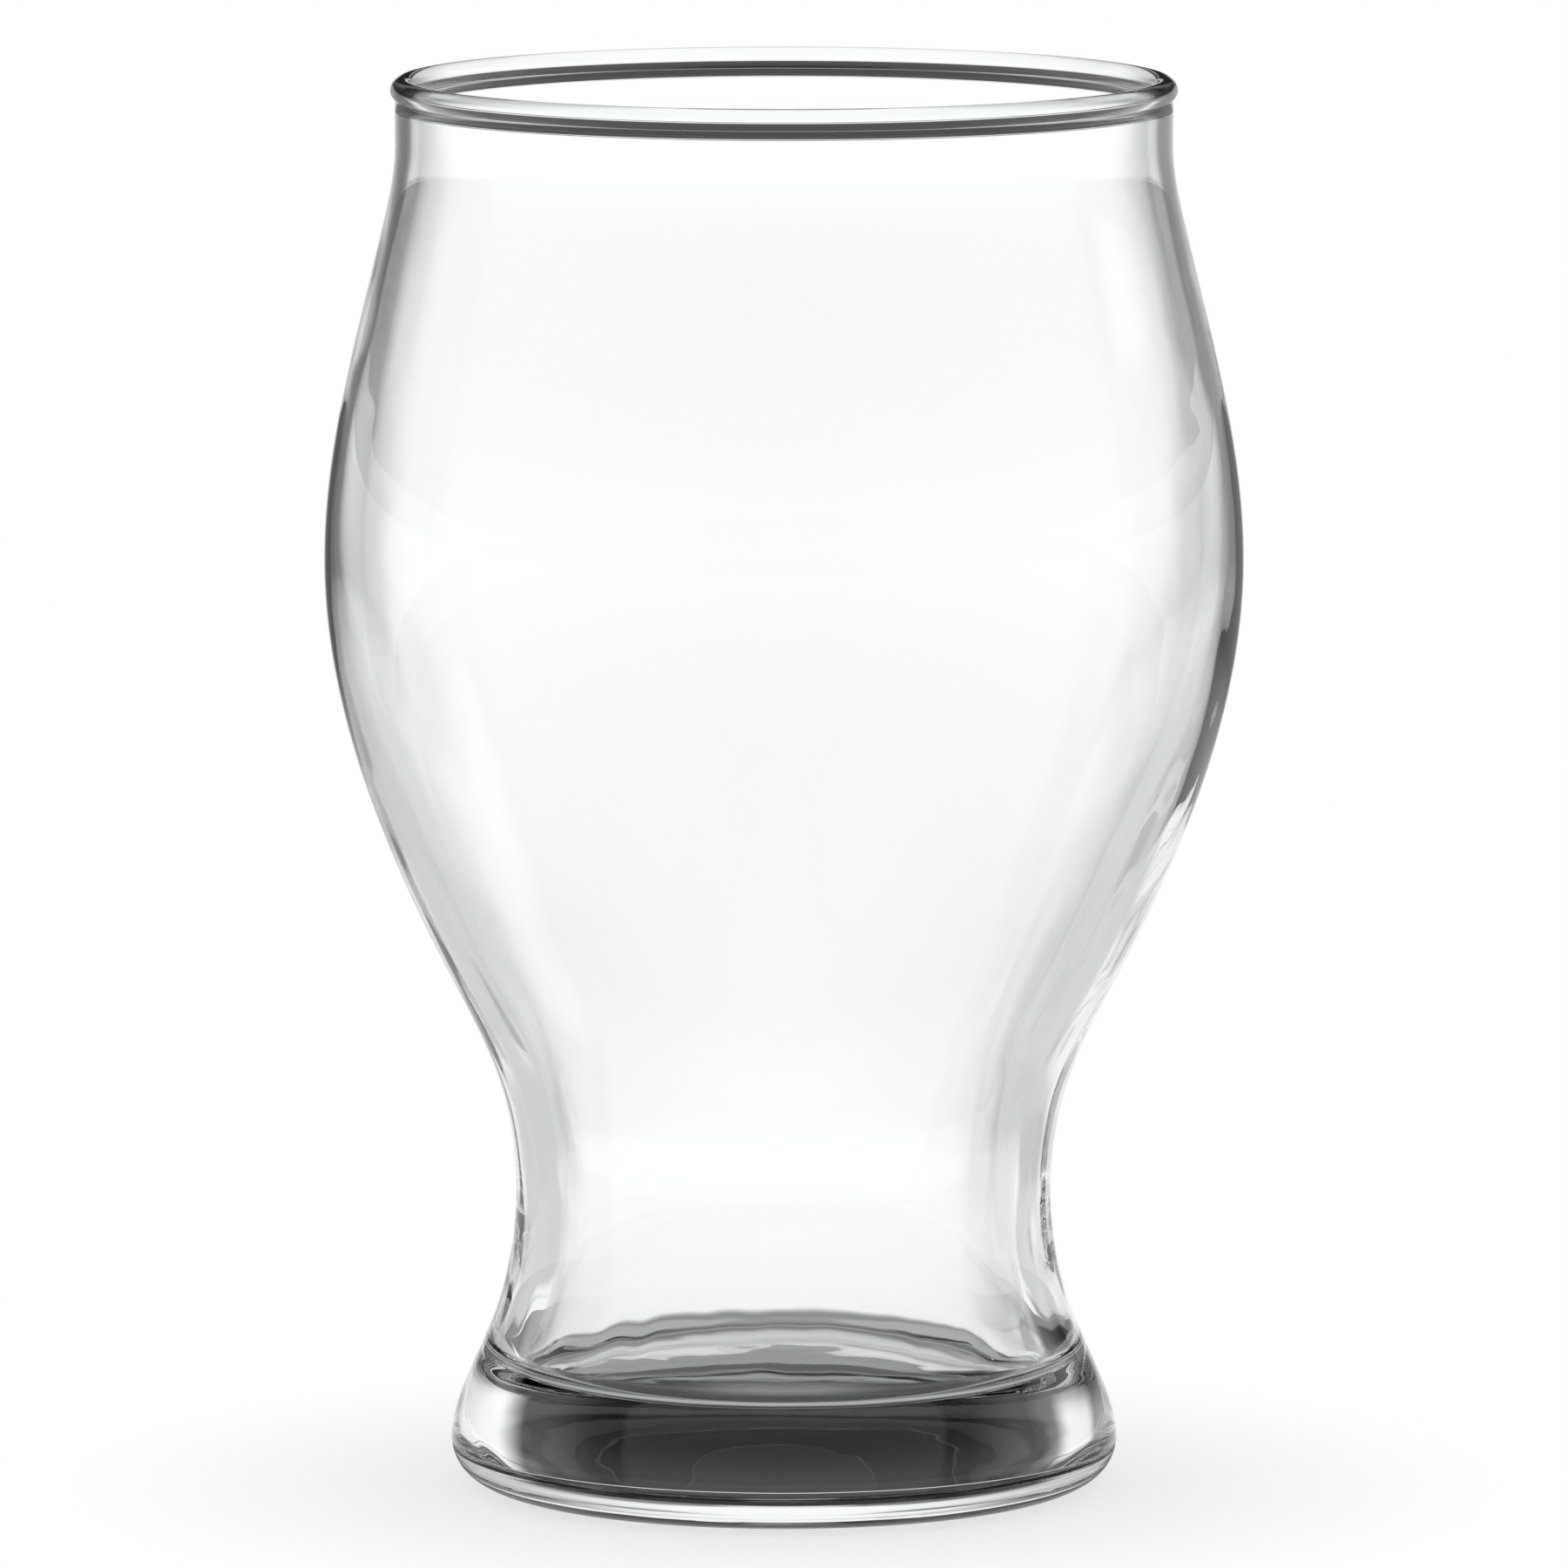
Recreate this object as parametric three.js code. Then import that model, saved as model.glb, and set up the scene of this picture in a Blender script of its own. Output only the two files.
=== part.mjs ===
// A clear beer glass with a beaded rim, a round bulb, a narrow waist and a heavy flared foot.
// Millimetres, +Z up. The origin is on the table, at the middle of the foot.
// The glass is one body of revolution. It is divided at level planes into the zones that a
// glassmaker names, and each zone is a closed solid that meets the next one face to face.
import * as THREE from "three";

// Overall height, and the melted bead on the lip.
const HEIGHT = 138;
const BEAD_RADIUS = 1.2;

// Outer wall: radii of the places that shape it, from the mould's parting line up to the neck. The
// swell lies in from the bowl that it leads to, and the shoulder flares out from the neck.
const SEAM_RADIUS = 32.62;
const FLANK_RADIUS = 29.21;
const WAIST_RADIUS = 26.22;
const SWELL_INSET = 4.05;
const BOWL_RADIUS = 32.82;
const BULB_RADIUS = 44.81;
const SHOULDER_FLARE = 1.09;
const NECK_RADIUS = 37.84;

// Levels of those places: each is a rise above the one before, and the last two hang from the bead.
const SEAM_HEIGHT = 4.3;
const FLANK_RISE = 10.2;
const WAIST_RISE = 14.5;
const SWELL_RISE = 13.3;
const BOWL_RISE = 8.3;
const BULB_RISE = 40.35;
const NECK_BAND = 4.5;
const SHOULDER_DROP = 7.2;

// Thickness of the wall, measured level, and the floor of the hollow.
const LIP_WALL = 1.55;
const BULB_WALL = 1.95;
const BOWL_WALL = 4.1;
const SWELL_WALL = 4.3;
const WAIST_WALL = 3.9;
const FOOT_WALL = 4.6;
const FLOOR_HEIGHT = 10.4;
const FLOOR_CORNER = 1.8;
const CORNER_LEAN = 0.38;

// Underside: the sole is set back a little at the parting line, its edge is rounded wider than it is
// high, and a level ring bears on the table around a shallow push-up.
const SOLE_SETBACK = 0.06;
const SOLE_ROUNDING = 5.05;
const BEARING_WIDTH = 4.5;
const PUSH_UP = 1.4;

// Facets.
const SEGMENTS = 80;
const WALL_STEP = 4.5;
const ARC_STEPS = 6;
const BEAD_STEPS = 12;

// Smooth curve through points that are given as level and value. It is flat at both ends, and its
// bend changes without a break. The slopes at the points come from a row of equations in which each
// slope touches only its two neighbours, solved by one pass up and one pass down.
function smoothCurve(levels, values) {
  const last = levels.length - 1;
  const spans = levels.slice(1).map((level, index) => level - levels[index]);
  const rises = spans.map((span, index) => (values[index + 1] - values[index]) / span);
  const shares = [0];
  const slopes = [0];
  for (let index = 1; index < last; index += 1) {
    const before = 1 / spans[index - 1];
    const after = 1 / spans[index];
    const pivot = 2 * (before + after) - before * shares[index - 1];
    const bend = 3 * (rises[index - 1] * before + rises[index] * after);
    shares.push(after / pivot);
    slopes.push((bend - before * slopes[index - 1]) / pivot);
  }
  slopes.push(0);
  for (let index = last - 1; index > 0; index -= 1) {
    slopes[index] -= shares[index] * slopes[index + 1];
  }
  return (level) => {
    const above = levels.findIndex((knot, index) => index > 0 && level <= knot);
    if (above < 0) {
      return values[last];
    }
    const low = above - 1;
    const span = spans[low];
    const share = (level - levels[low]) / span;
    const rest = 1 - share;
    const fromLow = values[low] * rest * rest * (1 + 2 * share);
    const fromAbove = values[above] * share * share * (1 + 2 * rest);
    return fromLow + fromAbove + span * share * rest * (slopes[low] * rest - slopes[above] * share);
  };
}

// Levels that follow from the driving dimensions.
const beadCentre = new THREE.Vector2(NECK_RADIUS - LIP_WALL / 2, HEIGHT - BEAD_RADIUS);
const notchAngle = Math.acos(LIP_WALL / 2 / BEAD_RADIUS);
const notchHeight = beadCentre.y - BEAD_RADIUS * Math.sin(notchAngle);
const neckHeight = notchHeight - NECK_BAND;
const shoulderHeight = neckHeight - SHOULDER_DROP;
const flankHeight = SEAM_HEIGHT + FLANK_RISE;
const waistHeight = flankHeight + WAIST_RISE;
const swellHeight = waistHeight + SWELL_RISE;
const bowlHeight = swellHeight + BOWL_RISE;
const bulbHeight = bowlHeight + BULB_RISE;

// The outer wall is two smooth runs that meet at the widest level of the bulb, where both are upright.
const lowerOuter = smoothCurve(
  [SEAM_HEIGHT, flankHeight, waistHeight, swellHeight, bowlHeight, bulbHeight],
  [SEAM_RADIUS, FLANK_RADIUS, WAIST_RADIUS, BOWL_RADIUS - SWELL_INSET, BOWL_RADIUS, BULB_RADIUS],
);
const upperOuter = smoothCurve(
  [bulbHeight, shoulderHeight, neckHeight],
  [BULB_RADIUS, NECK_RADIUS + SHOULDER_FLARE, NECK_RADIUS],
);

function outerRadius(level) {
  return level < bulbHeight ? lowerOuter(level) : upperOuter(level);
}

// The floor's rounded corner turns a little past upright, until it leans in with the flared wall.
const cornerTop = FLOOR_HEIGHT + FLOOR_CORNER * (1 + Math.sin(CORNER_LEAN));
const hollowFoot = outerRadius(cornerTop) - FOOT_WALL;
const cornerCentre = new THREE.Vector2(
  hollowFoot - FLOOR_CORNER * Math.cos(CORNER_LEAN),
  FLOOR_HEIGHT + FLOOR_CORNER,
);
const wall = smoothCurve(
  [cornerTop, waistHeight, swellHeight, bowlHeight, bulbHeight, neckHeight],
  [FOOT_WALL, WAIST_WALL, SWELL_WALL, BOWL_WALL, BULB_WALL, LIP_WALL],
);

function innerRadius(level) {
  return outerRadius(level) - wall(level);
}

// Points of a wall from one level up to another.
function wallPoints(radius, low, high) {
  const steps = Math.max(2, Math.round((high - low) / WALL_STEP));
  const points = [];
  for (let step = 0; step <= steps; step += 1) {
    const level = low + ((high - low) * step) / steps;
    points.push(new THREE.Vector2(radius(level), level));
  }
  return points;
}

// Points of a round edge about a centre, from one angle to another.
function arcPoints(centre, width, height, from, to, steps) {
  const arc = new THREE.EllipseCurve(centre.x, centre.y, width, height, from, to, to < from);
  return arc.getPoints(steps);
}

function clearGlass() {
  return new THREE.MeshStandardMaterial({
    color: 0xe6ece9,
    roughness: 0.03,
    metalness: 0,
    transparent: true,
    opacity: 0.35,
  });
}

// A solid turned from its outline. The outline runs anticlockwise, out along the bottom and up.
function turned(name, outline) {
  const geometry = new THREE.LatheGeometry(outline, SEGMENTS);
  geometry.rotateX(Math.PI / 2);
  const mesh = new THREE.Mesh(geometry, clearGlass());
  mesh.name = name;
  return mesh;
}

// A ring of wall between two levels.
function wallRing(name, low, high) {
  const outer = wallPoints(outerRadius, low, high);
  const inner = wallPoints(innerRadius, low, high).reverse();
  return turned(name, [...outer, ...inner, outer[0]]);
}

// Below the parting line: push-up, bearing ring and rounded edge.
function footSole() {
  const edgeCentre = new THREE.Vector2(SEAM_RADIUS - SOLE_SETBACK - SOLE_ROUNDING, SEAM_HEIGHT);
  const bearingInner = edgeCentre.x - BEARING_WIDTH;
  const outline = [];
  for (let step = 0; step <= ARC_STEPS; step += 1) {
    const share = step / ARC_STEPS;
    outline.push(new THREE.Vector2(bearingInner * share, PUSH_UP * (1 - share * share)));
  }
  outline.push(...arcPoints(edgeCentre, SOLE_ROUNDING, SEAM_HEIGHT, -Math.PI / 2, 0, ARC_STEPS));
  outline.push(new THREE.Vector2(0, SEAM_HEIGHT));
  return turned("foot_sole", outline);
}

// The thick base, with the floor of the hollow and its rounded corner.
function footBlock() {
  const outline = [new THREE.Vector2(0, SEAM_HEIGHT)];
  outline.push(...wallPoints(outerRadius, SEAM_HEIGHT, cornerTop));
  const corner = arcPoints(cornerCentre, FLOOR_CORNER, FLOOR_CORNER, CORNER_LEAN, -Math.PI / 2, ARC_STEPS);
  outline.push(...corner, new THREE.Vector2(0, FLOOR_HEIGHT));
  return turned("foot_block", outline);
}

// The melted bead, which overhangs the lip a little on both sides.
function rimBead() {
  const turn = Math.PI + notchAngle;
  const bead = arcPoints(beadCentre, BEAD_RADIUS, BEAD_RADIUS, -notchAngle, turn, BEAD_STEPS);
  return turned("rim_bead", [...bead, bead[0]]);
}

const glass = new THREE.Group();
glass.name = "beer_glass";
glass.add(footSole());
glass.add(footBlock());
glass.add(wallRing("waist_wall", cornerTop, swellHeight));
glass.add(wallRing("bowl_wall", swellHeight, bulbHeight));
glass.add(wallRing("shoulder_wall", bulbHeight, notchHeight));
glass.add(rimBead());

export default glass;
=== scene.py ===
# %% [markdown]
# # A clear beer glass
# The real thing is one piece of clear glass: a heavy flared foot, a narrow waist, a round bulb, and a lip
# that a flame has melted into a bead. Nothing on it moves, so the whole lesson is about one turned form,
# one clear material, and the light that makes glass visible at all.
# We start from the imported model, which is the fixed frame for everything below.

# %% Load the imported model
import math

import bpy
import numpy as np
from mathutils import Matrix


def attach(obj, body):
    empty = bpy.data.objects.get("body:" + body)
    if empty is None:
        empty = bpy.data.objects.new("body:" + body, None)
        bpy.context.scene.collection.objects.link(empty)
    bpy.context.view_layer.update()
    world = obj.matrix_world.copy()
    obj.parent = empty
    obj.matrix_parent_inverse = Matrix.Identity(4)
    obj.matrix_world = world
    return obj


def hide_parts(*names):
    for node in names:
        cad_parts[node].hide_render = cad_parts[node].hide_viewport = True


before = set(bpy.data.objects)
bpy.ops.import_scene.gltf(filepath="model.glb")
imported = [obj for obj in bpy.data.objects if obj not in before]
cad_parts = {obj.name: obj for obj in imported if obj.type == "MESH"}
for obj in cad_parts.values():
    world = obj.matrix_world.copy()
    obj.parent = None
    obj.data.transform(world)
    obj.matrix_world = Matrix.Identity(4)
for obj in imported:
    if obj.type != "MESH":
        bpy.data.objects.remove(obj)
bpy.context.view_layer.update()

zones = sorted(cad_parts)
print("zones of the glass:", ", ".join(zones))

# %% [markdown]
# ## The sizes
# A glassmaker's drawing of this glass is half an outline and an axis. These are its sizes in metres, the
# same ones that shape the solids. The outer wall is given at eight levels, from the mould's parting line
# near the table up to the neck. The hollow is given as the glass that is left around it.

# %% Sizes of the outer wall
MM = 0.001
HEIGHT = 138 * MM
BEAD_RADIUS = 1.2 * MM
NECK_BAND = 4.5 * MM
SHOULDER_DROP = 7.2 * MM

SEAM_HEIGHT, SEAM_RADIUS = 4.3 * MM, 32.62 * MM
FLANK_HEIGHT, FLANK_RADIUS = 14.5 * MM, 29.21 * MM
WAIST_HEIGHT, WAIST_RADIUS = 29.0 * MM, 26.22 * MM
SWELL_HEIGHT, SWELL_RADIUS = 42.3 * MM, 28.77 * MM
BOWL_HEIGHT, BOWL_RADIUS = 50.6 * MM, 32.82 * MM
BULB_HEIGHT, BULB_RADIUS = 90.95 * MM, 44.81 * MM
SHOULDER_RADIUS = 38.93 * MM
NECK_RADIUS = 37.84 * MM
print(round(HEIGHT / MM), "mm tall,", round(2 * BULB_RADIUS / MM, 1), "mm across the bulb")

# %% Sizes of the hollow and the underside
LIP_WALL = 1.55 * MM
BULB_WALL = 1.95 * MM
BOWL_WALL = 4.1 * MM
SWELL_WALL = 4.3 * MM
WAIST_WALL = 3.9 * MM
FOOT_WALL = 4.6 * MM
FLOOR_HEIGHT = 10.4 * MM
FLOOR_CORNER = 1.8 * MM
CORNER_LEAN = 0.38

SOLE_SETBACK = 0.06 * MM
SOLE_ROUNDING = 5.05 * MM
BEARING_WIDTH = 4.5 * MM
PUSH_UP = 1.4 * MM
SEAM_LINE = 0.05 * MM
print("walls from", round(LIP_WALL / MM, 2), "to", round(FOOT_WALL / MM, 2), "mm, floor at",
      round(FLOOR_HEIGHT / MM, 1), "mm")

# %% Levels that follow from the sizes
bead_centre = (NECK_RADIUS - LIP_WALL / 2, HEIGHT - BEAD_RADIUS)
notch_angle = math.acos(LIP_WALL / 2 / BEAD_RADIUS)
notch_height = bead_centre[1] - BEAD_RADIUS * math.sin(notch_angle)
neck_height = notch_height - NECK_BAND
shoulder_height = neck_height - SHOULDER_DROP
corner_top = FLOOR_HEIGHT + FLOOR_CORNER * (1 + math.sin(CORNER_LEAN))
print("neck at", round(neck_height / MM, 2), "mm, notch under the bead at", round(notch_height / MM, 2), "mm")

# %% [markdown]
# ## One smooth outline
# Glass bends light, so a wall that only looks smooth isn't good enough. Where two arcs meet with the same
# slope but a different bend, the eye sees a hard line in what shows through. A cubic spline keeps the bend
# unbroken as well. It could be a Bezier curve drawn by hand, but solving for the slopes at the given levels
# is exact, and only takes one small set of equations.

# %% Smooth curve through levels
def smooth_curve(levels, values):
    """Returns a function of the level, flat at both ends and of unbroken bend."""
    levels, values = np.array(levels), np.array(values)
    spans = np.diff(levels)
    rises = np.diff(values) / spans
    count = len(levels)
    system, wanted = np.eye(count), np.zeros(count)
    for knot in range(1, count - 1):
        before, after = spans[knot - 1], spans[knot]
        system[knot, knot - 1:knot + 2] = [after, 2 * (before + after), before]
        wanted[knot] = 3 * (rises[knot - 1] * after + rises[knot] * before)
    slopes = np.linalg.solve(system, wanted)

    def value_at(level):
        level = np.clip(level, levels[0], levels[-1])
        low = np.clip(np.searchsorted(levels, level) - 1, 0, count - 2)
        share = (level - levels[low]) / spans[low]
        rest = 1 - share
        ends = values[low] * rest ** 2 * (1 + 2 * share) + values[low + 1] * share ** 2 * (1 + 2 * rest)
        return ends + spans[low] * share * rest * (slopes[low] * rest - slopes[low + 1] * share)

    return value_at


# %% [markdown]
# ## The walls
# The outer wall is two such curves, which meet upright at the widest level of the bulb. The hollow's wall is
# a third curve, the thickness of the glass, taken off the outer wall.

# %% Outer wall and hollow
lower_outer = smooth_curve(
    [SEAM_HEIGHT, FLANK_HEIGHT, WAIST_HEIGHT, SWELL_HEIGHT, BOWL_HEIGHT, BULB_HEIGHT],
    [SEAM_RADIUS, FLANK_RADIUS, WAIST_RADIUS, SWELL_RADIUS, BOWL_RADIUS, BULB_RADIUS],
)
upper_outer = smooth_curve(
    [BULB_HEIGHT, shoulder_height, neck_height],
    [BULB_RADIUS, SHOULDER_RADIUS, NECK_RADIUS],
)
wall_thickness = smooth_curve(
    [corner_top, WAIST_HEIGHT, SWELL_HEIGHT, BOWL_HEIGHT, BULB_HEIGHT, neck_height],
    [FOOT_WALL, WAIST_WALL, SWELL_WALL, BOWL_WALL, BULB_WALL, LIP_WALL],
)


def outer_radius(level):
    return np.where(level < BULB_HEIGHT, lower_outer(level), upper_outer(level))


def hollow_radius(level):
    return outer_radius(level) - wall_thickness(level)


for sample in (20, 29, 42, 60, 91, 130):
    print("level", sample, "mm: radius", round(float(outer_radius(sample * MM)) / MM, 2),
          "mm, wall", round(float(wall_thickness(sample * MM)) / MM, 2), "mm")

# %% [markdown]
# ## The outline as a row of points
# The outline runs from the middle of the underside, out over the bearing ring, up the outer wall, over the
# bead, down the hollow, and ends in the middle of its floor. We also note which of its points belong to the
# hollow. Two extra points close above and below the parting line keep that faint line sharp.

# %% How many points each run gets
PUSH_UP_POINTS = 25
BEARING_POINTS = 3
ROUNDING_POINTS = 26
OUTSIDE_POINTS = 118
BEAD_POINTS = 26
INSIDE_POINTS = 112
CORNER_POINTS = 16
FLOOR_POINTS = 27


def arc(centre, width, height, start, stop, count):
    angles = np.linspace(start, stop, count)
    return np.stack([centre[0] + width * np.cos(angles), centre[1] + height * np.sin(angles)], 1)


def wall_run(radius, low, high, count):
    run_levels = np.linspace(low, high, count)
    return np.stack([radius(run_levels), run_levels], 1)


# %% The underside and the outside
bearing_outer = SEAM_RADIUS - SOLE_SETBACK - SOLE_ROUNDING
bearing_inner = bearing_outer - BEARING_WIDTH
outward_share = np.linspace(0, 1, PUSH_UP_POINTS)
push_up = np.stack([bearing_inner * outward_share, PUSH_UP * (1 - outward_share ** 2)], 1)
ring_radii = np.linspace(bearing_inner, bearing_outer, BEARING_POINTS + 2)[1:-1]
bearing_ring = np.stack([ring_radii, np.zeros(BEARING_POINTS)], 1)
rounding = arc((bearing_outer, SEAM_HEIGHT), SOLE_ROUNDING, SEAM_HEIGHT, -math.pi / 2, 0, ROUNDING_POINTS)
rounding = np.vstack([rounding[:-1], rounding[-1:] - [0, SEAM_LINE], rounding[-1:]])
outside = np.vstack([
    wall_run(outer_radius, SEAM_HEIGHT, SEAM_HEIGHT + SEAM_LINE, 2),
    wall_run(outer_radius, SEAM_HEIGHT + 1 * MM, notch_height, OUTSIDE_POINTS),
])
print("bearing ring from", round(bearing_inner / MM, 2), "to", round(bearing_outer / MM, 2), "mm")

# %% The bead, the hollow and the whole outline
bead = arc(bead_centre, BEAD_RADIUS, BEAD_RADIUS, -notch_angle, math.pi + notch_angle, BEAD_POINTS)
inside = wall_run(hollow_radius, corner_top, notch_height, INSIDE_POINTS)[::-1]
corner_radius = hollow_radius(corner_top) - FLOOR_CORNER * math.cos(CORNER_LEAN)
corner_centre = (corner_radius, FLOOR_HEIGHT + FLOOR_CORNER)
corner = arc(corner_centre, FLOOR_CORNER, FLOOR_CORNER, CORNER_LEAN, -math.pi / 2, CORNER_POINTS)
floor_radii = corner_radius * (1 - np.linspace(0, 1, FLOOR_POINTS))
hollow_floor = np.stack([floor_radii, np.full(FLOOR_POINTS, FLOOR_HEIGHT)], 1)

before_hollow = [push_up, bearing_ring, rounding, outside, bead[1:-1]]
outline = np.vstack([*before_hollow, inside, corner[1:], hollow_floor[1:]])
first_hollow = sum(len(run) for run in before_hollow)
in_hollow = (np.arange(len(outline)) >= first_hollow).astype(float)
print(len(outline), "points in the outline, the hollow from point", first_hollow)

# %% [markdown]
# ## What the mould leaves
# A moulded glass is true on the outside and only roughly true inside, because the hollow is shaped by the
# plunger and the breath, not by the mould. In the photograph the wall of the lower bowl is a little thicker
# on the right than on the left, the hollow's surface runs in faint wrinkles and upright streaks, and its
# floor is rippled where the hot glass met the plunger. The push-up under the foot cools free of the mould
# as well, so it gets shallow waves. The outline carries these as five values at each point: how far the
# hollow is set off sideways there, and how much it wrinkles, streaks, ripples and waves.

# %% Unevenness along the outline
TRUE_FROM = 112 * MM
STREAKS_FADE = (45 * MM, 80 * MM)
STREAKS_LOST = 0.6


def fade(value, low, high):
    share = np.clip((value - low) / (high - low), 0, 1)
    return share * share * (3 - 2 * share)


set_off = smooth_curve(
    [corner_top, WAIST_HEIGHT, BOWL_HEIGHT, 72.0 * MM, 96.0 * MM, neck_height],
    [0.1 * MM, 0.25 * MM, 0.45 * MM, 0.3 * MM, 0.1 * MM, 0.0],
)
levels = outline[:, 1]
above_floor = in_hollow * fade(levels, FLOOR_HEIGHT + 2 * MM, corner_top + 3 * MM)
sideways = above_floor * set_off(levels)
below_lip = 1 - fade(levels, TRUE_FROM, neck_height)
wrinkles = above_floor * below_lip
streaks = above_floor * (1 - STREAKS_LOST * fade(levels, *STREAKS_FADE)) * below_lip
ripples = in_hollow * (1 - fade(levels, FLOOR_HEIGHT, FLOOR_HEIGHT + 1.5 * MM))
waves = (np.arange(len(outline)) < len(push_up)).astype(float)
print("the hollow is set off by up to", round(float(sideways.max()) / MM, 2), "mm")

# %% [markdown]
# ## Turning the outline
# A lathe could do this with the Screw modifier, and a plain loop over points and angles would do as well.
# A Geometry Nodes tree is the better teacher: the form follows one rule, so the tree states the rule once.
# A grid has one row for each point of the outline and one column for each step round the axis. Every vertex
# looks up its outline point by its row, takes its angle from its column, and moves to its place. Then the
# seam and the two poles are merged, and the form is closed.

# %% Helpers for node trees
def add_node(tree, kind, sockets=None, **settings):
    made = tree.nodes.new(kind)
    for key, value in settings.items():
        setattr(made, key, value)
    for socket, value in (sockets or {}).items():
        if isinstance(value, bpy.types.NodeSocket):
            tree.links.new(value, made.inputs[socket])
        else:
            made.inputs[socket].default_value = value
    return made


def calc(tree, operation, first, second=0.0, third=0.0):
    sockets = {0: first, 1: second}
    if operation == "MULTIPLY_ADD":
        sockets[2] = third
    return add_node(tree, "ShaderNodeMath", sockets, operation=operation).outputs[0]


def combine(tree, x, y, z):
    return add_node(tree, "ShaderNodeCombineXYZ", {"X": x, "Y": y, "Z": z}).outputs[0]


# %% The turning tree and its inputs
turning = bpy.data.node_groups.new("turned_glass", "GeometryNodeTree")
turning.interface.new_socket("Outline", in_out="INPUT", socket_type="NodeSocketGeometry")
tree_inputs = {
    name: turning.interface.new_socket(name, in_out="INPUT", socket_type=kind)
    for name, kind in (
        ("Steps Round", "NodeSocketInt"),
        ("Wrinkle Depth", "NodeSocketFloat"),
        ("Wrinkle Turns", "NodeSocketFloat"),
        ("Wrinkle Pitch", "NodeSocketFloat"),
        ("Streak Depth", "NodeSocketFloat"),
        ("Streak Turns", "NodeSocketFloat"),
        ("Streak Length", "NodeSocketFloat"),
        ("Ripple Depth", "NodeSocketFloat"),
        ("Ripple Width", "NodeSocketFloat"),
        ("Wave Depth", "NodeSocketFloat"),
        ("Wave Width", "NodeSocketFloat"),
        ("Seed", "NodeSocketFloat"),
        ("Glass", "NodeSocketMaterial"),
    )
}
turning.interface.new_socket("Glass Body", in_out="OUTPUT", socket_type="NodeSocketGeometry")
given = add_node(turning, "NodeGroupInput").outputs
print("turning tree with", len(tree_inputs), "inputs besides the outline")

# %% Rows, columns and angles
rows = add_node(
    turning, "GeometryNodeAttributeDomainSize", {0: given["Outline"]}, component="MESH",
).outputs["Point Count"]
columns = calc(turning, "ADD", given["Steps Round"], 1.0)
sheet = add_node(turning, "GeometryNodeMeshGrid", {"Vertices X": rows, "Vertices Y": columns}).outputs["Mesh"]
index = add_node(turning, "GeometryNodeInputIndex").outputs[0]
row = calc(turning, "FLOOR", calc(turning, "DIVIDE", calc(turning, "ADD", index, 0.5), columns))
column = calc(turning, "SUBTRACT", index, calc(turning, "MULTIPLY", row, columns))
angle = calc(turning, "MULTIPLY", calc(turning, "DIVIDE", column, given["Steps Round"]), 2 * math.pi)
cosine, sine = calc(turning, "COSINE", angle), calc(turning, "SINE", angle)


def outline_value(name):
    """What the outline's point carries under this name, looked up by the vertex's row."""
    named = add_node(turning, "GeometryNodeInputNamedAttribute", {"Name": name}, data_type="FLOAT")
    sockets = {"Geometry": given["Outline"], "Index": row}
    sampled = add_node(turning, "GeometryNodeSampleIndex", sockets, data_type="FLOAT")
    turning.links.new(named.outputs["Attribute"], sampled.inputs["Value"])
    return sampled.outputs["Value"]


radius, level = outline_value("radius"), outline_value("level")

# %% [markdown]
# ## The unevenness in the tree
# Each kind of unevenness is a soft noise. Wrinkles and streaks are looked up on a circle round the axis, so
# that they meet themselves after one turn, and streaks are drawn out along it. Ripples and waves are looked
# up on the flat. The first two move the hollow's wall in and out, the others move floor and push-up up and
# down.

# %% Noises
def noise(place, detail, roughness, distortion=0.0):
    sockets = {"Vector": place, "W": given["Seed"], "Scale": 1.0,
               "Detail": detail, "Roughness": roughness, "Distortion": distortion}
    return add_node(turning, "ShaderNodeTexNoise", sockets, noise_dimensions="4D").outputs[0]


def both_ways(value, depth):
    return calc(turning, "MULTIPLY", calc(turning, "SUBTRACT", value, 0.5), given[depth])


def place_round(turns, length):
    return combine(
        turning,
        calc(turning, "MULTIPLY", cosine, given[turns]),
        calc(turning, "MULTIPLY", sine, given[turns]),
        calc(turning, "DIVIDE", level, given[length]),
    )


def place_flat(width, layer):
    return combine(
        turning,
        calc(turning, "DIVIDE", across, given[width]),
        calc(turning, "DIVIDE", along, given[width]),
        layer,
    )


# %% Each vertex in its place
wrinkle = both_ways(noise(place_round("Wrinkle Turns", "Wrinkle Pitch"), 2.0, 0.45), "Wrinkle Depth")
streak = both_ways(noise(place_round("Streak Turns", "Streak Length"), 1.0, 0.4), "Streak Depth")
uneven = calc(
    turning, "ADD",
    calc(turning, "MULTIPLY", outline_value("wrinkles"), wrinkle),
    calc(turning, "MULTIPLY", outline_value("streaks"), streak),
)
thickening = calc(turning, "ADD", calc(turning, "MULTIPLY", outline_value("sideways"), cosine), uneven)
true_radius = calc(turning, "SUBTRACT", radius, thickening)
across = calc(turning, "MULTIPLY", true_radius, cosine)
along = calc(turning, "MULTIPLY", true_radius, sine)
ripple = both_ways(noise(place_flat("Ripple Width", 0.0), 1.5, 0.4, 0.6), "Ripple Depth")
wave = calc(turning, "MULTIPLY", noise(place_flat("Wave Width", 5.0), 2.0, 0.5), given["Wave Depth"])
rippled_level = calc(turning, "MULTIPLY_ADD", outline_value("ripples"), ripple, level)
true_level = calc(turning, "MULTIPLY_ADD", outline_value("waves"), wave, rippled_level)
position = combine(turning, across, along, true_level)
print("rule for a vertex in", len(turning.nodes), "nodes so far")

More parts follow.
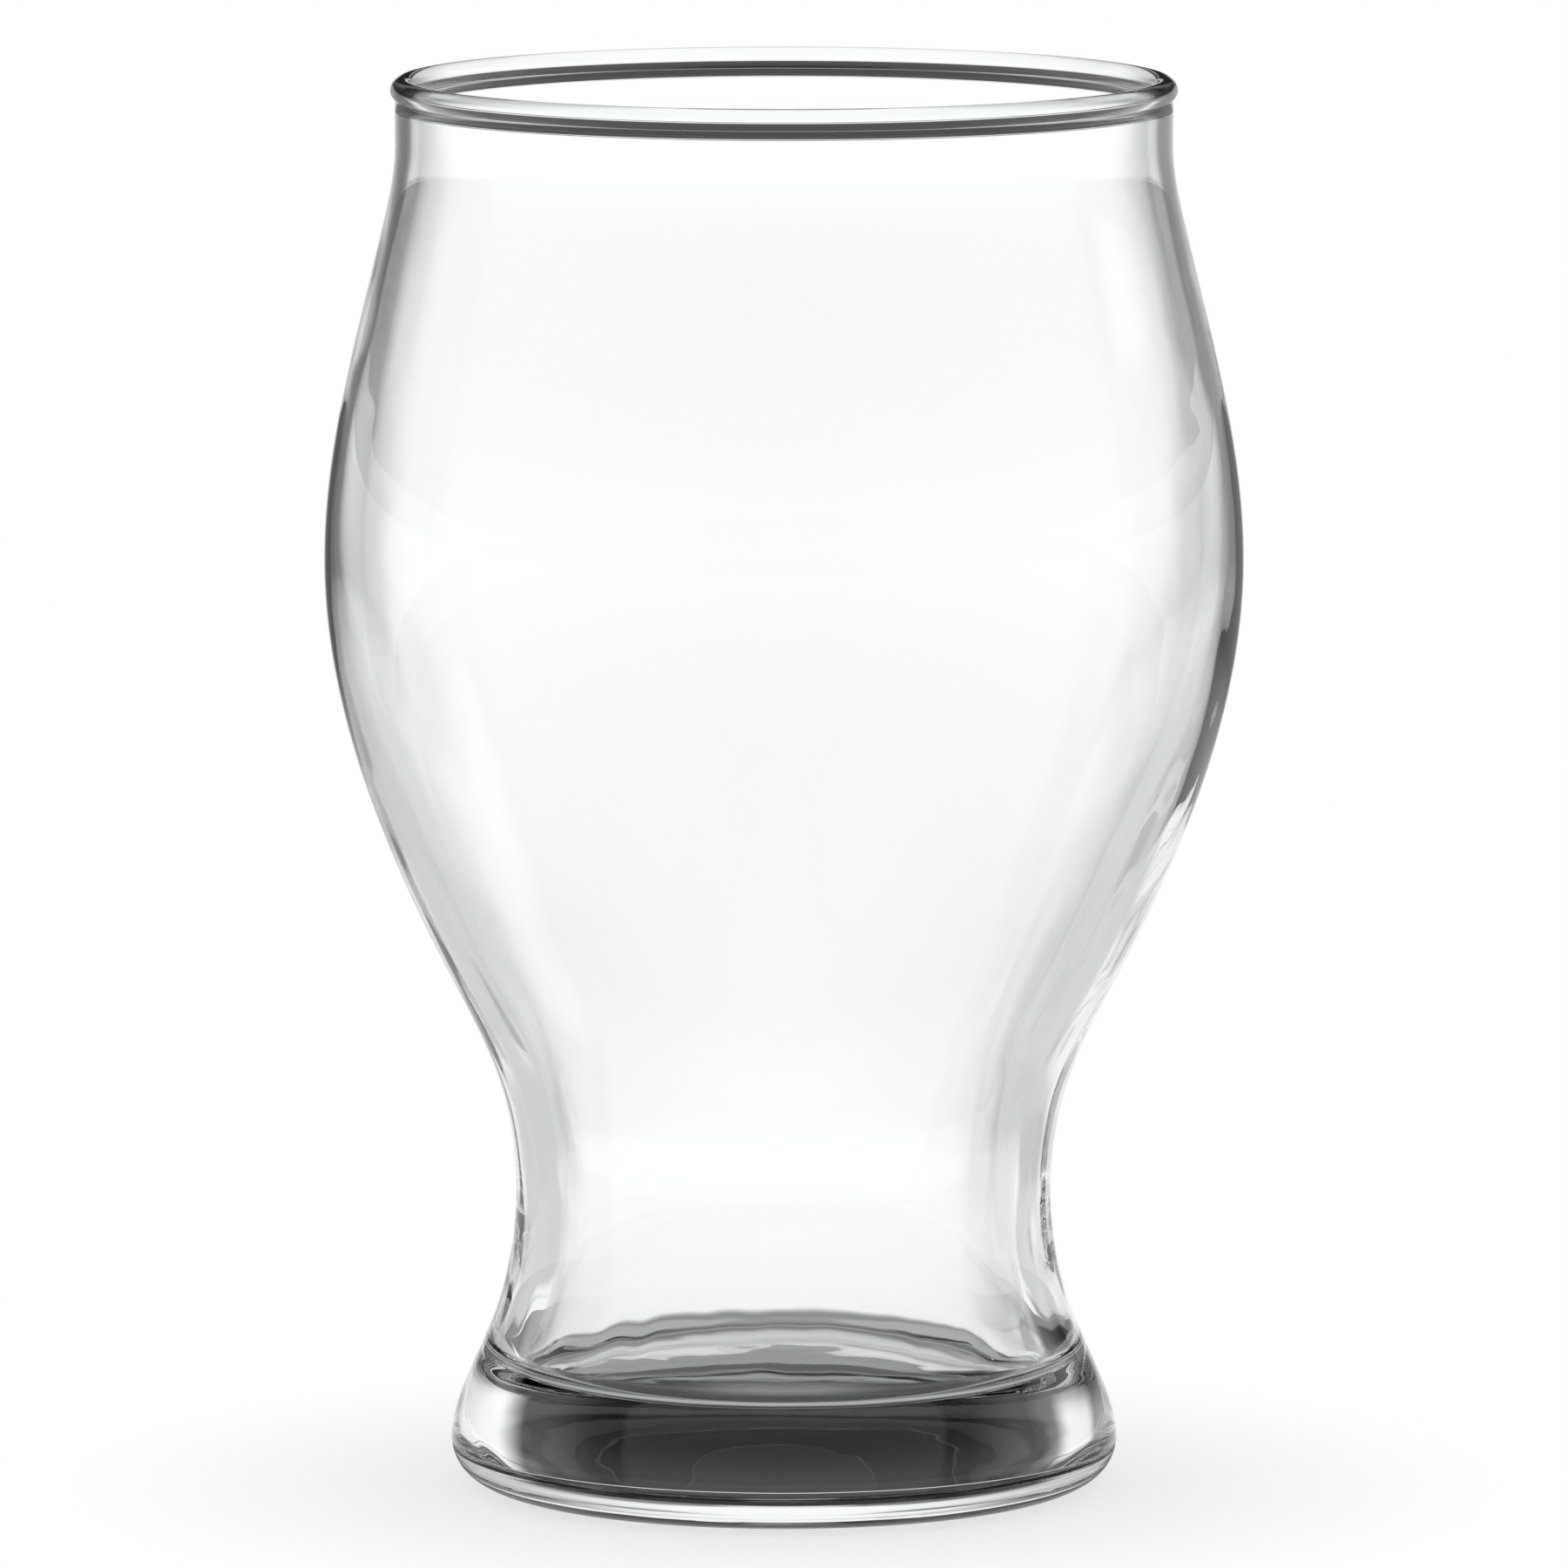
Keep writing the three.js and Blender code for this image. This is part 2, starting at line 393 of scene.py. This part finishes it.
# %% Closing the form
MERGE_DISTANCE = 0.000002
turned = add_node(turning, "GeometryNodeSetPosition", {"Geometry": sheet, "Position": position}).outputs[0]
closed = add_node(
    turning, "GeometryNodeMergeByDistance", {"Geometry": turned, "Distance": MERGE_DISTANCE},
).outputs[0]
outward = add_node(turning, "GeometryNodeFlipFaces", {"Mesh": closed}).outputs[0]
smooth = add_node(turning, "GeometryNodeSetShadeSmooth", {"Geometry": outward}).outputs[0]
realized = add_node(turning, "GeometryNodeRealizeInstances", {"Geometry": smooth}).outputs[0]
finished = add_node(
    turning, "GeometryNodeSetMaterial", {"Geometry": realized, "Material": given["Glass"]},
).outputs[0]
add_node(turning, "NodeGroupOutput", {"Glass Body": finished})
print("turning tree of", len(turning.nodes), "nodes")

# %% [markdown]
# ## Clear glass
# Soda-lime glass is clear, with a faint green in its depth from a trace of iron. A fire-polished surface is
# a mirror, so its roughness is nothing at all. The material is one plain shader, because everything else
# that the eye sees in this glass is its form at work: the same values make the pale bowl and the dark foot.

# %% The glass material
clear_glass = bpy.data.materials.new("clear_glass")
clear_glass.use_nodes = True
shader = clear_glass.node_tree.nodes["Principled BSDF"]
shader.inputs["Base Color"].default_value = (0.991, 1.0, 0.996, 1.0)
shader.inputs["Roughness"].default_value = 0.0
shader.inputs["IOR"].default_value = 1.52
shader.inputs["Transmission Weight"].default_value = 1.0
print("glass that bends light by", round(shader.inputs["IOR"].default_value, 2))

# %% [markdown]
# ## One closed body
# The outline becomes a mesh of edges that carries its values, and the tree turns it. Depths and widths are
# in metres. Turns say how many blots of noise fit along the radius of the circle on which they are looked
# up. The result is kept as a plain mesh. It takes the place of all six zones, because a seam inside clear
# glass would show as a surface that the real glass doesn't have.

# %% Turn the glass
outline_mesh = bpy.data.meshes.new("glass_outline")
points = [(float(r), 0.0, float(z)) for r, z in outline]
outline_mesh.from_pydata(points, [(k, k + 1) for k in range(len(points) - 1)], [])
for name, values in (
    ("radius", outline[:, 0]),
    ("level", levels),
    ("sideways", sideways),
    ("wrinkles", wrinkles),
    ("streaks", streaks),
    ("ripples", ripples),
    ("waves", waves),
):
    outline_mesh.attributes.new(name, "FLOAT", "POINT").data.foreach_set("value", values.astype(np.float32))
lathe = bpy.data.objects.new("lathe", outline_mesh)
bpy.context.collection.objects.link(lathe)
modifier = lathe.modifiers.new("turning", "NODES")
modifier.node_group = turning
for name, value in (
    ("Steps Round", 272),
    ("Wrinkle Depth", 0.16 * MM),
    ("Wrinkle Turns", 2.2),
    ("Wrinkle Pitch", 11 * MM),
    ("Streak Depth", 0.3 * MM),
    ("Streak Turns", 4.5),
    ("Streak Length", 60 * MM),
    ("Ripple Depth", 0.16 * MM),
    ("Ripple Width", 9 * MM),
    ("Wave Depth", 0.13 * MM),
    ("Wave Width", 8 * MM),
    ("Seed", 4.0),
    ("Glass", clear_glass),
):
    modifier[tree_inputs[name].identifier] = value
print("outline of", len(points), "points on the lathe")

# %% Keep it as a plain mesh
evaluated = lathe.evaluated_get(bpy.context.evaluated_depsgraph_get())
glass_mesh = bpy.data.meshes.new_from_object(evaluated)
bpy.data.objects.remove(lathe)
glass_mesh.name = "beer_glass_body"
glass_mesh.materials.clear()
glass_mesh.materials.append(clear_glass)
glass = bpy.data.objects.new("beer_glass_body", glass_mesh)
bpy.context.collection.objects.link(glass)
print("turned:", len(glass_mesh.vertices), "vertices,", len(glass_mesh.polygons), "faces")
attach(glass, "root")
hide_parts(*zones)

# %% [markdown]
# ## The studio
# Clear glass is seen only by what it bends and mirrors, so the studio is half of the picture. This is the
# bright field of a product photographer: a white table that runs straight back behind the glass, dark cards
# standing to both sides of that white lane, a soft box low on each side, and a dark room above. The lane
# fills the bowl with white, the dark cards draw its edges, the soft boxes put bright patches in the foot,
# and the dark room makes the thick base charcoal. Lamps could do it, but glass shows every lamp's shape.
# Here the room's light and a glow of painted light on the table carry the pattern themselves. Each part of it
# is a panel with soft edges, given by its bearing and its elevation in degrees, so one small node group draws
# them all.

# %% A soft panel as a node group
def soft_step(tree, value, low, high):
    sockets = {"Value": value, "From Min": low, "From Max": high}
    return add_node(tree, "ShaderNodeMapRange", sockets, interpolation_type="SMOOTHSTEP").outputs[0]


PANEL_INPUTS = (
    "Bearing", "Elevation", "Left", "Right", "Bottom", "Top", "Side Edge", "Level Edge", "Brightness",
)
soft_panel = bpy.data.node_groups.new("soft_panel", "ShaderNodeTree")
for socket in PANEL_INPUTS:
    soft_panel.interface.new_socket(socket, in_out="INPUT", socket_type="NodeSocketFloat")
soft_panel.interface.new_socket("Light", in_out="OUTPUT", socket_type="NodeSocketFloat")
panel = add_node(soft_panel, "NodeGroupInput").outputs
light = panel["Brightness"]
for measure, start, inward, edge in (
    ("Bearing", "Left", 1.0, "Side Edge"),
    ("Bearing", "Right", -1.0, "Side Edge"),
    ("Elevation", "Bottom", 1.0, "Level Edge"),
    ("Elevation", "Top", -1.0, "Level Edge"),
):
    past_start = calc(soft_panel, "SUBTRACT", panel[measure], panel[start])
    depth = calc(soft_panel, "MULTIPLY", past_start, inward)
    outer_edge = calc(soft_panel, "MULTIPLY", panel[edge], -1.0)
    light = calc(soft_panel, "MULTIPLY", light, soft_step(soft_panel, depth, outer_edge, panel[edge]))
add_node(soft_panel, "NodeGroupOutput", {"Light": light})
print("soft panel group of", len(soft_panel.nodes), "nodes")


# %% Helpers for the panels
def bearing(tree, x, y):
    """Degrees round the glass: 0 straight behind it, positive to the right."""
    return calc(tree, "MULTIPLY", calc(tree, "ARCTAN2", x, y), 180 / math.pi)


def brightest_panel(tree, toward_panel, panels, ambient):
    """The brightest of the panels at a bearing and elevation, and never less than the ambient light."""
    brightest = ambient
    for _, *values in panels:
        made = add_node(tree, "ShaderNodeGroup", node_tree=soft_panel)
        for socket, value in zip(PANEL_INPUTS[2:], values):
            made.inputs[socket].default_value = value
        for socket, value in zip(PANEL_INPUTS[:2], toward_panel):
            tree.links.new(value, made.inputs[socket])
        brightest = calc(tree, "MAXIMUM", made.outputs["Light"], brightest)
    return brightest


# %% [markdown]
# ## The room
# To the camera the room is plain white, as in the photograph. What the glass bends and mirrors is the studio.
# Light that has scattered off the table sees an even, slightly dimmer white room, so that the table stays
# evenly lit. Each panel has a name, its left, right, bottom and top, the softness of its sides and of its
# levels, and its brightness.

# %% The room's panels
ROOM_PANELS = (
    ("left soft box", -84, -42, -6, 14, 8, 4, 0.44),
    ("left soft box's bright end", -60, -44, 8, 17, 4, 4, 0.96),
    ("right soft box", 42, 84, -6, 12, 8, 3, 0.48),
    ("right soft box's bright end", 42.5, 76, 8, 20, 6, 3, 1.04),
    ("left card", -60, -28, -6, 30, 9, 6, 0.068),
    ("right card", 28, 60, -6, 30, 9, 6, 0.072),
    ("left front of the room", -200, -80, -30, 16, 8, 16, 0.76),
    ("right front of the room", 80, 200, -30, 16, 8, 16, 0.76),
    ("soft box overhead", -15, 30, 42, 68, 8, 6, 0.56),
    ("dim backdrop", -19, 19, -6, 34, 1, 8, 0.032),
    ("lit foot of the left wall", -70, 0, -6, 2.5, 6, 1, 0.152),
    ("lit foot of the right wall", 0, 70, -6, 4, 6, 1, 0.24),
    ("lit foot of the backdrop", -19, 19, -6, 3, 1, 1, 0.2),
    ("white middle of the backdrop", -8, 8, -6, 3, 4, 1, 0.8),
)
ROOM_AMBIENT = 0.0096
ROOM_FOR_TABLE = 0.8

# %% The room's light
room = bpy.data.worlds.new("studio_room")
bpy.context.scene.world = room
room.use_nodes = True
sky = room.node_tree
sky.nodes.clear()
direction = add_node(sky, "ShaderNodeTexCoord").outputs["Generated"]
toward = add_node(sky, "ShaderNodeSeparateXYZ", {0: direction}).outputs
elevation = calc(sky, "MULTIPLY", calc(sky, "ARCSINE", toward["Z"]), 180 / math.pi)
toward_room = (bearing(sky, toward["X"], toward["Y"]), elevation)
studio_light = brightest_panel(sky, toward_room, ROOM_PANELS, ROOM_AMBIENT)
ray = add_node(sky, "ShaderNodeLightPath").outputs
scattered = calc(sky, "MULTIPLY", calc(sky, "MINIMUM", ray["Diffuse Depth"], 1.0), ROOM_FOR_TABLE)
plain = calc(sky, "MAXIMUM", ray["Is Camera Ray"], scattered)
strength = calc(sky, "MAXIMUM", studio_light, plain)
background = add_node(sky, "ShaderNodeBackground", {"Color": (1.0, 1.0, 1.0, 1.0), "Strength": strength})
add_node(sky, "ShaderNodeOutputWorld", {"Surface": background.outputs[0]})
print("room with", len(ROOM_PANELS), "panels")

# %% [markdown]
# ## The table
# A plain white table, level under the glass. The camera sees it lit by the room, so the glass leaves its own
# soft shadow on it. The glass itself sees a glow of painted light on the table: the white lane, and grey
# painted beside it for the dark cards' feet. Close behind the glass the painted glow is graded, white in the
# middle and grey beside it, and far away only the lane is left. To the sides, where the main view hardly
# looks, the glow is white, so that the glass stays clear from there too. The lane is drawn from a point in
# front of the glass, so that it is already as wide as the glass where it passes it. Under the foot the glow
# has painted shade: dark, but for a ring of painted light where the rounded edge gathers light from outside,
# and a painted paler middle under the push-up.

# %% The table's panels
# Painted light: levels of the glow that the glass sees on the table, which no lamp lights.
FLAT_PANELS = (
    ("lane behind the glass", -10.3, 10.3, 4.8, 1.03),
    ("left of the table", -200, -31, 6, 1.0),
    ("grey right of the lane", 8, 60, 4, 0.3),
    ("right of the table", 31, 200, 6, 1.0),
)
NEAR_FLAT_PANELS = (
    ("white close behind the glass", -15, 15, 9, 1.0),
    ("white to the left of the glass", -200, -25, 7, 1.0),
    ("white to the right of the glass", 25, 200, 7, 1.0),
)
LANE_START = 0.2
NEAR_AMBIENT = 0.62
NEAR_FADE = (0.65, 0.3)
FAR_AMBIENT = 0.2
FRONT_FADE = (0.02, -0.08)


def lying_flat(panels):
    """A panel on the table has no height of its own, so it gets room above and below the table's level."""
    return [(name, left, right, -1, 2, edge, 1, brightness) for name, left, right, edge, brightness in panels]


# %% The table's sheet
TABLE_REACH = 40.0
TABLE_GAP = 0.0002
table_mesh = bpy.data.meshes.new("table")
table_corners = [(x * TABLE_REACH, y * TABLE_REACH, 0) for x, y in ((-1, -1), (1, -1), (1, 1), (-1, 1))]
table_mesh.from_pydata(table_corners, [], [(0, 1, 2, 3)])
table = bpy.data.objects.new("table", table_mesh)
table.location.z = -TABLE_GAP
bpy.context.collection.objects.link(table)
print("table", 2 * TABLE_REACH, "m across")

# %% What the glass sees on the table
# Painted shade under the foot, seen only by the glass: a dark level, a painted paler middle, a ring of
# painted light, and a painted shadow line at the foot's edge.
PAINTED_SHADE_UNDER_FOOT = 0.4
PAINTED_RINGS_UNDER_FOOT = (
    ("dark round the middle", 0.002, 0.014, -0.33),
    ("paler ring", 0.021, 0.027, 0.4),
    ("dark line at the foot's edge", 0.028, 0.032, -0.28),
    ("open table", 0.038, 0.047, 0.81),
)
white_table = bpy.data.materials.new("white_table")
white_table.use_nodes = True
table_tree = white_table.node_tree
table_tree.nodes.clear()
spot = add_node(table_tree, "ShaderNodeTexCoord").outputs["Object"]
spot_part = add_node(table_tree, "ShaderNodeSeparateXYZ", {0: spot}).outputs
from_axis = add_node(table_tree, "ShaderNodeVectorMath", {0: spot}, operation="LENGTH").outputs["Value"]
from_start = calc(table_tree, "ADD", spot_part["Y"], LANE_START)
toward_spot = (bearing(table_tree, spot_part["X"], from_start), spot_part["Z"])

# Painted light for glass rays: the glow's white lane, grey beside it and white near the glass are painted
# levels.
near_light = brightest_panel(table_tree, toward_spot, lying_flat(NEAR_FLAT_PANELS), NEAR_AMBIENT)
near_light = calc(table_tree, "MULTIPLY", near_light, soft_step(table_tree, from_axis, *NEAR_FADE))
table_light = brightest_panel(table_tree, toward_spot, lying_flat(FLAT_PANELS), near_light)
table_light = calc(table_tree, "MAXIMUM", table_light, FAR_AMBIENT)
table_light = calc(table_tree, "MAXIMUM", table_light, soft_step(table_tree, spot_part["Y"], *FRONT_FADE))
# The painted shade and the painted light rings under the foot scale the glow that the glass sees.
painted_foot_light = PAINTED_SHADE_UNDER_FOOT
for _, inner, outer, change in PAINTED_RINGS_UNDER_FOOT:
    step = soft_step(table_tree, from_axis, inner, outer)
    painted_foot_light = calc(table_tree, "MULTIPLY_ADD", step, change, painted_foot_light)
glass_sees = calc(table_tree, "MULTIPLY", table_light, painted_foot_light)
# The glass sees this emission of painted light and painted shade in place of a lit table.
painted_glow = add_node(table_tree, "ShaderNodeEmission", {"Strength": glass_sees})
print("table with", len(FLAT_PANELS) + len(NEAR_FLAT_PANELS), "panels")

# %% What the camera sees on the table
SHADOW_FADE = (0.03, 0.075)
SHADOW_SHARE = 0.35
lit = add_node(table_tree, "ShaderNodeBsdfDiffuse", {"Color": (0.97, 0.97, 0.97, 1.0)})
white = add_node(table_tree, "ShaderNodeEmission", {"Strength": 1.0})
away = soft_step(table_tree, from_axis, *SHADOW_FADE)
whiteness = calc(table_tree, "MULTIPLY_ADD", away, SHADOW_SHARE, 1 - SHADOW_SHARE)
seen = add_node(table_tree, "ShaderNodeMixShader", {0: whiteness, 1: lit.outputs[0], 2: white.outputs[0]})
table_ray = add_node(table_tree, "ShaderNodeLightPath").outputs
by_glass = calc(table_tree, "MAXIMUM", table_ray["Is Glossy Ray"], table_ray["Is Transmission Ray"])
surface = add_node(table_tree, "ShaderNodeMixShader", {0: by_glass, 1: seen.outputs[0], 2: painted_glow.outputs[0]})
add_node(table_tree, "ShaderNodeOutputMaterial", {"Surface": surface.outputs[0]})
table_mesh.materials.append(white_table)
print("table material of", len(table_tree.nodes), "nodes")

# %% [markdown]
# ## The camera
# The photograph looks down on the glass by about seven degrees, from far enough away that its sides hardly
# converge. These numbers come from fitting the ellipses of the rim and of the foot. Light is turned many
# times inside the thick foot, so its paths are allowed to be long.

# %% Camera
PITCH = math.radians(7.298)
DISTANCE = 1.5115
LOOK_HEIGHT = 0.06882
camera = bpy.data.objects.new("camera", bpy.data.cameras.new("camera"))
bpy.context.collection.objects.link(camera)
camera.location = (0, -DISTANCE * math.cos(PITCH), LOOK_HEIGHT + DISTANCE * math.sin(PITCH))
camera.rotation_euler = (math.pi / 2 - PITCH, 0, 0)
camera.data.lens = 355.5
camera.data.sensor_width = 36
scene = bpy.context.scene
scene.camera = camera
scene.view_settings.view_transform = "Standard"
scene.cycles.max_bounces = 40
scene.cycles.transmission_bounces = 40
scene.cycles.glossy_bounces = 24
print("camera", round(DISTANCE, 3), "m away, looking down", round(math.degrees(PITCH), 2), "degrees")
